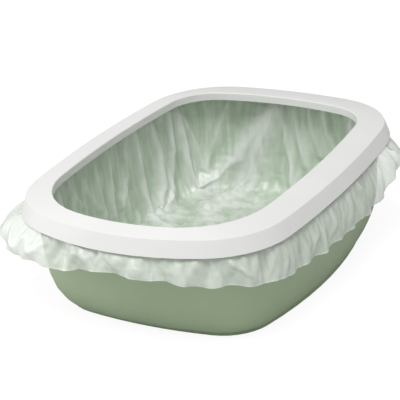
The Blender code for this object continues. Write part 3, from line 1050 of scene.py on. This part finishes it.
class Liner:
    """The liner: one film from the floor up the walls, over the pan's flange and down to a free hem."""

    SEED = 11
    # Distance off the pan at which the film counts as fully off it, inside and on the skirt
    LIFT = 0.012
    SKIRT_LIFT = 0.085
    # Way down the film from the pan's edge to the floor's edge, about
    WALL_PATH = 0.18

    def __init__(self, box: BoxSize, size: FilmSize, finish: FilmFinish) -> None:
        """Prepares the walls that the film leans on.

        Args:
            box: Sizes of the pan and the rim.
            size: Sizes of the film.
            finish: The film's finish.
        """
        self.box, self.size, self.finish = box, size, finish
        self.exit_height = box.skirt_bottom - self.size.clear
        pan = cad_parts["pan"]
        self.inner = PolarWall(pan, box.floor + 0.1 * MM, box.height - 3 * MM, outer=False)
        self.outer = PolarWall(pan, box.foot_height + 1 * MM, self.exit_height, outer=True)

    def keep_in(self, points: np.ndarray) -> None:
        """Keeps points inside the pan.

        Args:
            points: Points in space, changed in place.
        """
        points[..., 2] = np.maximum(points[..., 2], self.box.floor + self.size.clear)
        reach = np.hypot(points[..., 0], points[..., 1]) + 1e-9
        wall, slope = self.inner.beside(points)
        tilt = np.sqrt(1 + slope**2)
        over = np.maximum((reach - wall) / tilt + self.size.clear, 0.0)
        points[..., :2] *= (1 - over / tilt / reach)[..., None]
        points[..., 2] += over * slope / tilt

    def keep_out(self, points: np.ndarray) -> None:
        """Keeps points outside the pan and below the rim's skirt.

        Args:
            points: Points in space, changed in place.
        """
        points[..., 2] = np.minimum(points[..., 2], self.exit_height)
        reach = np.hypot(points[..., 0], points[..., 1]) + 1e-9
        limit = self.outer.beside(points)[0] + self.size.clear
        points[..., :2] *= np.maximum(limit / reach, 1.0)[..., None]

    def pleats(self, shape: BoxShape) -> list[tuple[float, float, float, float]]:
        """Chooses the plain pleats of the walls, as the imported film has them.

        Args:
            shape: The box at one fineness.

        Returns:
            Place at the top, drift at the floor, depth and half width of each pleat.
        """
        chance = random.Random(self.SEED)
        found = []
        place = 0.0
        while place < shape.girth:
            depth = chance.uniform(0.0025, 0.0075)
            width = chance.uniform(0.009, 0.014)
            drift = chance.uniform(-0.02, 0.02)
            bearing = np.interp(place, shape.along, shape.bearing)
            if TRACED[0] < bearing < TRACED[1]:
                depth *= TRACED[2]
            found.append((place, drift, depth, width))
            place += chance.uniform(0.026, 0.044)
        return found

    def looseness(self, shape: BoxShape) -> np.ndarray:
        """Runs the looseness smoothly round the box.

        Args:
            shape: The box at one fineness.

        Returns:
            A share of the usual slack for each column.
        """
        places = [shape.along_at(bearing) for bearing, _ in LOOSENESS]
        return np.interp(shape.along, places, [share for _, share in LOOSENESS], period=shape.girth)

    def shares(self, refine: int) -> list[float]:
        """Lists the wall rows' shares of the pan's height, from the floor's edge to below the flange.

        Args:
            refine: Parts that each coarse row is cut into.

        Returns:
            Shares of the height.
        """
        top = self.box.round_height / (self.box.height - self.box.foot_height)
        turns = np.linspace(math.pi / 2, 0, self.size.round_rows * refine, endpoint=False)
        rounded = [top * (1 - math.sin(turn)) for turn in turns]
        return rounded + list(np.linspace(top, 1, self.size.wall_rows * refine, endpoint=False))

    @staticmethod
    def apart(shape: BoxShape, place: float) -> np.ndarray:
        """Gives the signed distance round the edge from each column to a place.

        Args:
            shape: The box at one fineness.
            place: Distance round the edge.

        Returns:
            Distances in metres.
        """
        half = shape.girth / 2
        return (shape.along - place + half) % shape.girth - half

    def fold_depth(
        self, shape: BoxShape, pleats: list[tuple[float, float, float, float]], share: float
    ) -> np.ndarray:
        """Tells how far each column stands in from the pan.

        Args:
            shape: The box at one fineness.
            pleats: The plain pleats of the walls.
            share: Share of the pan's height, below 0 on the floor.

        Returns:
            Depths in metres.
        """
        narrowed = 1 + min(share, 0.0)
        depth = np.zeros_like(shape.along)
        rise = math.sin(math.pi * min(max(1 - share, 0.0), 1.0) ** 0.55)
        for place, drift, size, width in pleats:
            wide = width * (1 + 0.6 * (1 - max(share, 0.0)))
            offset = self.apart(shape, place + drift * (1 - share))
            depth = np.maximum(depth, rise * size * np.exp(-((offset / wide) ** 2)))
        for size, width, line in FOLDS:
            corners = [(shape.along_at(bearing), self.path(height)) for bearing, height in line]
            corners.insert(0, (corners[0][0], 0.0))
            gap = np.full(len(depth), 1.0)
            for (start, high), (end, low) in zip(corners, corners[1:]):
                over = ((end - start + shape.girth / 2) % shape.girth - shape.girth / 2) * narrowed
                down = low - high
                x, y = self.apart(shape, start) * narrowed, self.path(share) - high
                part = np.clip((x * over + y * down) / (over**2 + down**2 + 1e-12), 0, 1)
                gap = np.minimum(gap, np.hypot(x - part * over, y - part * down))
            wide = width * (1 + 0.35 * (1 - share))
            grow = min(1.0, (1 - share) / 0.12)
            depth = np.maximum(depth, grow * size * np.exp(-((gap / wide) ** 1.15)))
        return depth

    @staticmethod
    def path(share: float) -> float:
        """Tells how far down the film a share of the pan's height lies, about, floor included.

        Args:
            share: Share of the pan's height, below 0 on the floor.

        Returns:
            Distance from the pan's edge in metres.
        """
        return (1 - share) * Liner.WALL_PATH

    def crumple(self, points: np.ndarray, pitch: float, rise: float = 0.0) -> np.ndarray:
        """Makes creased heights from folded waves in many directions.

        Args:
            points: Points in space.
            pitch: Distance between creases.
            rise: How strongly the waves also run up and down.

        Returns:
            Heights from 0 to 1.
        """
        chance = random.Random(self.SEED + 7)
        total = np.zeros(len(points))
        for turn in range(6):
            angle = chance.uniform(0, math.pi)
            way = np.array([math.cos(angle), math.sin(angle), rise * (-1) ** turn])
            cross = np.array([-way[1], way[0], 0.0])
            bend = 0.4 * np.sin(points @ cross / (pitch * chance.uniform(0.25, 0.5)) + chance.uniform(0, 6))
            wave = points @ way / (pitch * chance.uniform(0.6, 1.7)) + bend + chance.uniform(0, 1)
            total += 2 * np.abs(wave % 1 - 0.5)
        return np.clip(total / 3 - 0.5, 0, 1)

    def inner_rows(self, refine: int) -> tuple[np.ndarray, np.ndarray, np.ndarray]:
        """Lays out the film inside the pan, from the middle of the floor to the flange.

        Args:
            refine: Parts that each coarse step is cut into.

        Returns:
            The smooth surface, the planned surface, and the slack's share at each point.
        """
        shape = BoxShape(self.box, refine)
        pleats = self.pleats(shape)
        loose = self.looseness(shape)
        edge = shape.inside(0.0, self.size.play)
        middle = edge.mean(axis=0)
        smooth, planned, slack = [], [], []
        for reach in np.linspace(self.size.floor_hole, 1, self.size.floor_rows * refine, endpoint=False):
            flat = middle + (edge - middle) * reach
            bumped = flat.copy()
            bumped[:, 2] += self.size.floor_crumple * self.crumple(flat, self.size.floor_crease_pitch)
            bumped[:, 2] += self.fold_depth(shape, pleats, reach - 1)
            smooth.append(flat)
            planned.append(bumped)
            slack.append(np.full(len(flat), 0.25 + 0.5 * reach**3))
        for share in self.shares(refine):
            flat = shape.inside(share, self.size.play)
            inward = shape.inside(share, self.size.play + 1.0) - flat
            depth = self.fold_depth(shape, pleats, share)
            if share < 0.2:
                creased = self.crumple(flat, self.size.floor_crease_pitch)
                depth = depth + self.size.floor_crumple * creased * (1 - share / 0.2)
            smooth.append(flat)
            planned.append(flat + inward * depth[:, None])
            slack.append(loose * (0.3 + 0.7 * (1 - share) ** 0.6))
        edge_at = -self.box.wall_inset - self.box.wall - self.size.edge_gap
        top = ring(shape.offset(edge_at), self.box.height + self.size.clear)
        smooth.append(top)
        planned.append(top)
        slack.append(loose * 0.3)
        return np.array(smooth), np.array(planned), np.array(slack)

    def hem_line(self, shape: BoxShape) -> tuple[np.ndarray, np.ndarray]:
        """Runs the hem's height and stand-off smoothly between the chosen bearings.

        Args:
            shape: The box at one fineness.

        Returns:
            Height and stand-off for each column.
        """
        places = np.array([shape.along_at(bearing) for bearing, _, _ in HEM])
        after = np.searchsorted(places, shape.along, side="right") % len(places)
        before = after - 1
        gap = (places[after] - places[before]) % shape.girth
        share = ((shape.along - places[before]) % shape.girth) / gap
        blend = share * share * (3 - 2 * share)
        heights = np.array([height for _, height, _ in HEM])
        reaches = np.array([reach for _, _, reach in HEM])
        return (
            heights[before] + (heights[after] - heights[before]) * blend,
            reaches[before] + (reaches[after] - reaches[before]) * blend,
        )

    def ruffle(self, shape: BoxShape, turn: float) -> np.ndarray:
        """Makes the in-and-out wave of the free skirt from three pitches that close round the girth.

        Args:
            shape: The box at one fineness.
            turn: Shift of the wave.

        Returns:
            Wave values, about -2 to 2.
        """
        waves = round(shape.girth / self.size.ruffle_pitch)
        angle = 2 * math.pi * shape.along / shape.girth
        wave = np.sin(waves * angle + turn) + 0.6 * np.sin((waves - 11) * angle - 2 * turn)
        return wave + 0.5 * np.sin((waves + 9) * angle + 3 * turn)

    def skirt_rows(self, refine: int) -> tuple[np.ndarray, np.ndarray, np.ndarray]:
        """Lays out the free skirt, from the hem up to where it leaves the rim.

        Args:
            refine: Parts that each coarse step is cut into.

        Returns:
            The smooth surface, the planned surface, and the slack's share at each point.
        """
        shape = BoxShape(self.box, refine)
        height, reach = self.hem_line(shape)
        chance = random.Random(self.SEED + 3)
        creases = []
        place = 0.0
        while place < shape.girth:
            lean = chance.choice((-1, 1)) * chance.uniform(0.010, 0.055)
            creases.append((place, lean, chance.uniform(-0.6, 1.0) * 0.0055, chance.uniform(0.004, 0.007)))
            place += chance.uniform(0.018, 0.034)
        # Short puckers where the film comes out from under the rim
        turn = 2 * math.pi * shape.along / shape.girth
        pucker = np.sin(131 * turn + 2 * np.sin(17 * turn)) + 0.7 * np.sin(89 * turn)
        smooth, planned, slack = [], [], []
        for share in np.linspace(1, 0, self.size.skirt_rows * refine + 1):
            tucked = np.full(len(reach), -self.size.tuck)
            out = reach * math.sin(math.pi / 2 * share) ** 0.8 if share else tucked
            drop = self.exit_height + (height - self.exit_height) * share
            wave = self.size.ruffle_depth * math.sqrt(share)
            flat = ring(shape.edge.points + shape.edge.normals * out[:, None], drop)
            moved = out + wave * self.ruffle(shape, 1.3 * share)
            swell = math.sin(math.pi * min(share * 1.05, 1.0) ** 0.75) + 0.1 * share
            for place, lean, size, width in creases:
                offset = self.apart(shape, place + lean * (share - 0.5))
                moved = moved + swell * size * np.exp(-(np.abs(offset / width) ** 1.2))
            moved = moved + 0.0011 * math.sin(math.pi * min(share / 0.45, 1.0)) * pucker
            crumpled = self.crumple(flat, self.size.skirt_crease_pitch, 0.7) - 0.5
            moved = moved + self.size.skirt_crease * min(share / 0.3, 1.0) * (1 - 0.4 * share) * crumpled
            sunk = drop + 0.2 * wave * self.ruffle(shape, 2.0 + share)
            smooth.append(flat)
            planned.append(ring(shape.edge.points + shape.edge.normals * moved[:, None], sunk))
            slack.append(np.full(len(reach), 0.3 + 1.0 * share * (1.05 - share)))
        planned[-1] = smooth[-1]
        return np.array(smooth), np.array(planned), np.array(slack)

    def settled(
        self,
        rows: Callable[[int], tuple[np.ndarray, np.ndarray, np.ndarray]],
        blocked: Callable[[np.ndarray], None],
        leans: tuple[tuple[tuple[int, int], float], ...],
    ) -> np.ndarray:
        """Settles one part of the film from coarse to fine.

        Args:
            rows: Lays the part out at a fineness.
            blocked: Pushes points out of solid pieces, in place.
            leans: Cell and lean of each pattern in the random start.

        Returns:
            The points at the finest stage, rows by columns by three.
        """
        rng = np.random.default_rng(self.SEED)
        drift = None
        points = np.zeros(0)
        for stage in STAGES:
            smooth, planned, slack = rows(stage.refine)
            goal = planned if drift is None else planned + self.refined(drift, len(planned))
            net = Net(planned, slack * stage.slack, np.full_like(slack, stage.height_slack))
            outward = smooth / (np.linalg.norm(smooth[..., :2], axis=2)[..., None] + 1e-6)
            wobble = sum(smooth_noise(rng, *slack.shape, cell, turn) for cell, turn in leans)
            start = goal.copy()
            start[:-1] -= outward[:-1] * (stage.jitter * wobble[:-1] * slack[:-1])[..., None]
            blocked(start)
            points = net.settle(start, goal, stage, blocked)
            drift = points - planned
        return points

    @staticmethod
    def refined(drift: np.ndarray, rows: int) -> np.ndarray:
        """Carries a net of vectors to twice the columns and to more rows.

        Args:
            drift: Vectors, rows by columns by three.
            rows: Rows wanted.

        Returns:
            The finer net of vectors.
        """
        ahead, behind = np.roll(drift, -1, axis=1), np.roll(drift, 1, axis=1)
        beyond = np.roll(drift, -2, axis=1)
        wide = np.empty((drift.shape[0], drift.shape[1] * 2, 3))
        wide[:, 0::2] = drift
        wide[:, 1::2] = (9 * (drift + ahead) - behind - beyond) / 16
        down = np.linspace(0, drift.shape[0] - 1, rows)
        row = np.minimum(down.astype(int), drift.shape[0] - 2)
        blend = (down - row)[:, None, None]
        return wide[row] * (1 - blend) + wide[row + 1] * blend

    def over_flange(self, shape: BoxShape) -> np.ndarray:
        """Lays the rows over the pan's flange and down behind the rim's skirt.

        Args:
            shape: The box at the finest stage.

        Returns:
            Rows between the inner film and the skirt.
        """
        outside = -self.box.lip_inset + self.size.clear
        rest = self.box.height + self.size.clear
        middle = (outside - self.box.wall_inset - self.box.wall) / 2
        return np.array(
            [
                ring(shape.offset(middle), rest),
                ring(shape.offset(outside), rest),
                ring(shape.offset(outside), self.box.lip_bottom),
            ]
        )

    def build(self) -> bpy.types.Object:
        """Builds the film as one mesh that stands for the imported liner.

        Returns:
            The film's object.
        """
        inner = self.settled(self.inner_rows, self.keep_in, (((9, 3), 0.0), ((5, 2), 0.4), ((5, 2), -0.4)))
        skirt = self.settled(self.skirt_rows, self.keep_out, (((4, 4), 1.1), ((4, 4), -1.1), ((2, 2), 0.5)))
        shape = BoxShape(self.box, STAGES[-1].refine)
        rows = np.concatenate([inner, self.over_flange(shape), skirt[::-1]])
        count, columns = rows.shape[:2]
        steps = np.linalg.norm(rows[1:] - rows[:-1], axis=2).mean(axis=1)
        down = np.concatenate([[0.0], np.cumsum(steps)])
        points = np.concatenate([rows.reshape(-1, 3), [rows[0].mean(axis=0)]])
        index = np.arange(count * columns).reshape(count, columns)
        after = np.roll(index, -1, axis=1)
        quads = np.stack([index[:-1], after[:-1], after[1:], index[1:]], axis=-1).reshape(-1, 4)
        fan = np.stack([index[0], np.full(columns, count * columns), after[0]], axis=-1)
        mesh = bpy.data.meshes.new("liner_film")
        mesh.from_pydata(points.tolist(), [], fan.tolist() + quads.tolist())
        mesh.shade_smooth()
        self.map_film(mesh, down, columns, shape)
        lift = mesh.attributes.new(name="lift", type="FLOAT", domain="POINT")
        lift.data.foreach_set("value", self.lift(points, len(inner) * columns).astype(np.float32))
        mesh.materials.append(self.finish.material(float(down[-1])))
        made = bpy.data.objects.new("liner_film", mesh)
        bpy.context.scene.collection.objects.link(made)
        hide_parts("liner")
        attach(made, "root")
        area = sum(face.area for face in mesh.polygons)
        LOG.info("liner film: %d points, %.3f square metres, edge %.3f m down", len(points), area, down[-1])
        return made

    def lift(self, points: np.ndarray, inside: int) -> np.ndarray:
        """Tells how far the film stands off the pan.

        Args:
            points: Points in space, those inside the pan first and the floor's middle last.
            inside: How many of the first points lie inside the pan.

        Returns:
            Shares from 0 on the pan to 1 at LIFT off it inside, and at SKIRT_LIFT outside.
        """
        reach = np.hypot(points[:, 0], points[:, 1])
        wall, slope = self.inner.beside(points)
        off = np.minimum((wall - reach) / np.sqrt(1 + slope**2), points[:, 2] - self.box.floor)
        off[inside:] = (reach[inside:] - self.outer.beside(points[inside:])[0]) * self.LIFT / self.SKIRT_LIFT
        off[-1] = off[0]
        return np.clip(off / self.LIFT, 0, 1)

    def map_film(self, mesh: bpy.types.Mesh, down: np.ndarray, columns: int, shape: BoxShape) -> None:
        """Gives the film a map in metres: round the girth, and from the floor's middle to the hem.

        Args:
            mesh: The film's mesh.
            down: Distance of each row from the middle.
            columns: Columns of the net.
            shape: The box at the finest stage.
        """
        corner = np.zeros(len(mesh.loops), dtype=np.int64)
        mesh.loops.foreach_get("vertex_index", corner)
        row = np.minimum(corner // columns, len(down) - 1)
        column = corner % columns
        along = shape.along[column]
        starts = np.zeros(len(mesh.polygons), dtype=np.int64)
        mesh.polygons.foreach_get("loop_start", starts)
        first = np.repeat(starts, np.diff(np.append(starts, len(corner))))
        # Faces that cross the seam run on past the whole girth, so that the map doesn't fold back there
        early, late = shape.girth * 0.3, shape.girth * 0.7
        along = np.where((along[first] > late) & (along < early), along + shape.girth, along)
        along = np.where((along[first] < early) & (along > late), along - shape.girth, along)
        height = np.where(corner >= len(down) * columns, 0.0, down[row])
        layer = mesh.uv_layers.new(name="film")
        layer.data.foreach_set("uv", np.column_stack([along, height]).ravel().astype(np.float32))


# The studio


@dataclass(frozen=True)
class Lamp:
    """A soft square lamp.

    Attributes:
        name: The lamp's name.
        place: Where it hangs, in metres.
        aim: What it points at.
        side: Side of its square.
        power: Watts.
    """

    name: str
    place: tuple[float, float, float]
    aim: tuple[float, float, float]
    side: float
    power: float

    def hang(self) -> None:
        """Adds the lamp to the scene."""
        data = bpy.data.lights.new(self.name, "AREA")
        data.shape = "SQUARE"
        data.size = self.side
        data.energy = self.power
        made = bpy.data.objects.new(self.name, data)
        made.location = self.place
        way = Vector(self.aim) - Vector(self.place)
        made.rotation_mode = "QUATERNION"
        made.rotation_quaternion = way.to_track_quat("-Z", "Y")
        bpy.context.scene.collection.objects.link(made)


@dataclass(frozen=True)
class Camera:
    """The camera that the photo's outlines were fitted with.

    Attributes:
        azimuth: Degrees round the box, 0 looking along +Y.
        elevation: Degrees above the horizon.
        roll: Degrees that the picture leans.
        distance: Metres to the target.
        target: Point that it looks at.
        focal: Focal length in picture widths times the picture's side.
        middle: Picture place of the target, in pixels.
    """

    azimuth: float = 28.46
    elevation: float = 23.655
    roll: float = -3.47
    distance: float = 2.261
    target: tuple[float, float, float] = (0.0, 0.0, 0.08)
    focal: float = 1598.5
    middle: tuple[float, float] = (214.7, 211.15)

    def place(self) -> None:
        """Adds the camera and makes it the scene's own."""
        turn, rise, lean = (math.radians(a) for a in (self.azimuth, self.elevation, self.roll))
        back = Vector((math.sin(turn) * math.cos(rise), -math.cos(turn) * math.cos(rise), math.sin(rise)))
        right = Vector((math.cos(turn), math.sin(turn), 0.0))
        up = back.cross(right)
        level = right * math.cos(lean) + up * math.sin(lean)
        upright = up * math.cos(lean) - right * math.sin(lean)
        data = bpy.data.cameras.new("camera")
        data.sensor_width = 36.0
        data.lens = self.focal / PICTURE_SIDE * data.sensor_width
        data.shift_x = (PICTURE_SIDE / 2 - self.middle[0]) / PICTURE_SIDE
        data.shift_y = (self.middle[1] - PICTURE_SIDE / 2) / PICTURE_SIDE
        made = bpy.data.objects.new("camera", data)
        turned = Matrix((level, upright, back)).transposed().to_4x4()
        made.matrix_world = Matrix.Translation(Vector(self.target) + back * self.distance) @ turned
        bpy.context.scene.collection.objects.link(made)
        bpy.context.scene.camera = made


class Studio:
    """A white floor that shows white and keeps the box's shadow, pale surroundings and soft lamps."""

    LAMPS = (
        Lamp("top_lamp", (0.9, -2.4, 5.1), (0.0, 0.05, 0.08), 2.4, 222.0),
        Lamp("left_lamp", (-2.3, -1.0, 0.9), (0.0, 0.0, 0.05), 1.3, 22.0),
    )
    AMBIENT = 0.52
    FLOOR_SIDE = 14.0
    FLOOR_DROP = 0.2 * MM
    FLOOR_COLOUR = "C8C8C8"
    # Strength of the plain white that the camera sees, and share of the lit floor with its shadow in it
    WHITE_GLOW = 1.16
    SHADOW_SHARE = 0.22

    def build(self) -> None:
        """Adds floor, surroundings, lamps and camera."""
        self.floor()
        self.surroundings()
        for lamp in self.LAMPS:
            lamp.hang()
        Camera().place()
        bpy.context.scene.view_settings.view_transform = "Standard"

    def floor(self) -> None:
        """Lays the floor. The camera sees it as a mix of plain white and the lit floor with its shadow."""
        half = self.FLOOR_SIDE / 2
        mesh = bpy.data.meshes.new("studio_floor")
        corners = [(x * half, y * half, -self.FLOOR_DROP) for x, y in ((-1, -1), (1, -1), (1, 1), (-1, 1))]
        mesh.from_pydata(corners, [], [(0, 1, 2, 3)])
        made, tree = bare_material("paper_floor_white")
        paper = add_node(tree, "ShaderNodeBsdfDiffuse", {"Color": linear(self.FLOOR_COLOUR)})
        white = add_node(tree, "ShaderNodeEmission", {"Color": (1.0, 1.0, 1.0, 1.0), "Strength": self.WHITE_GLOW})
        seen = add_node(tree, "ShaderNodeLightPath").outputs["Is Camera Ray"]
        parts = {0: seen, 1: 1 - self.SHADOW_SHARE}
        share = add_node(tree, "ShaderNodeMath", parts, operation="MULTIPLY").outputs[0]
        mixed = add_node(tree, "ShaderNodeMixShader", {0: share, 1: paper.outputs[0], 2: white.outputs[0]})
        add_node(tree, "ShaderNodeOutputMaterial", {"Surface": mixed.outputs[0]})
        mesh.materials.append(made)
        floor = bpy.data.objects.new("studio_floor", mesh)
        bpy.context.scene.collection.objects.link(floor)
        floor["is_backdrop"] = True

    def surroundings(self) -> None:
        """Sets the even light of the room, and plain white where the camera looks past the floor."""
        world = bpy.data.worlds.new("studio_room")
        world.use_nodes = True
        tree = world.node_tree
        tree.nodes.clear()
        seen = add_node(tree, "ShaderNodeLightPath").outputs["Is Camera Ray"]
        light = add_node(
            tree,
            "ShaderNodeMapRange",
            {"Value": seen, "From Min": 0.0, "From Max": 1.0, "To Min": self.AMBIENT, "To Max": 1.0},
        ).outputs[0]
        glow = add_node(tree, "ShaderNodeBackground", {"Color": (1.0, 1.0, 1.0, 1.0), "Strength": light})
        add_node(tree, "ShaderNodeOutputWorld", {"Surface": glow.outputs[0]})
        bpy.context.scene.world = world


@dataclass(frozen=True)
class Moulding:
    """A moulded piece that is shown as it was packed, with its facets shaded smooth.

    Attributes:
        node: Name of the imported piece.
        finish: The piece's finish.
        bend: Largest bend in degrees between facets that is shaded smooth. Sharper edges stay sharp.
        together: How near corners lie that count as one, in metres.
    """

    node: str
    finish: MouldedFinish
    bend: float = 24.0
    together: float = 0.01 * MM

    def normals(self, mesh: bpy.types.Mesh) -> list[Vector]:
        """Works out a shading normal for each corner of each facet.

        Args:
            mesh: The piece's mesh.

        Returns:
            The normals, in the order of the mesh's corners.
        """
        limit = math.cos(math.radians(self.bend))
        meeting: dict[tuple[int, ...], list[tuple[Vector, float]]] = {}
        found = []
        for face in mesh.polygons:
            spots = [mesh.vertices[vertex].co for vertex in face.vertices]
            for index, spot in enumerate(spots):
                opening = (spots[index - 1] - spot).angle(spots[(index + 1) % len(spots)] - spot, 0.0)
                key = tuple(round(value / self.together) for value in spot)
                meeting.setdefault(key, []).append((face.normal.copy(), opening))
                found.append((key, face.normal.copy()))
        normals = []
        for key, own in found:
            total = sum((way * weight for way, weight in meeting[key] if way.dot(own) > limit), Vector())
            normals.append(total.normalized() if total.length > 1e-9 else own)
        return normals

    def dress(self) -> None:
        """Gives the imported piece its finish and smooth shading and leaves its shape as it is."""
        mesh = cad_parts[self.node].data
        mesh.materials.clear()
        mesh.materials.append(self.finish.material())
        normals = self.normals(mesh)
        mesh.shade_smooth()
        mesh.normals_split_custom_set(normals)
        LOG.info("%s: %s", self.node, self.finish.name)


def corners() -> list[list[float]]:
    """Measures what is shown.

    Returns:
        The lowest and the highest corner as plain lists.
    """
    return [[float(value) for value in corner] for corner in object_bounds()]


def main() -> None:
    """Builds the box's looks in order and reports each piece."""
    logging.basicConfig(level=logging.INFO, format="%(name)s %(message)s")
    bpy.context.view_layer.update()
    Moulding("pan", SAGE_POLYPROPYLENE).dress()
    Moulding("rim", WHITE_POLYPROPYLENE).dress()
    Liner(BoxSize(), FilmSize(), MILKY_POLYETHYLENE).build()
    Studio().build()


if __name__ == "__main__":
    main()
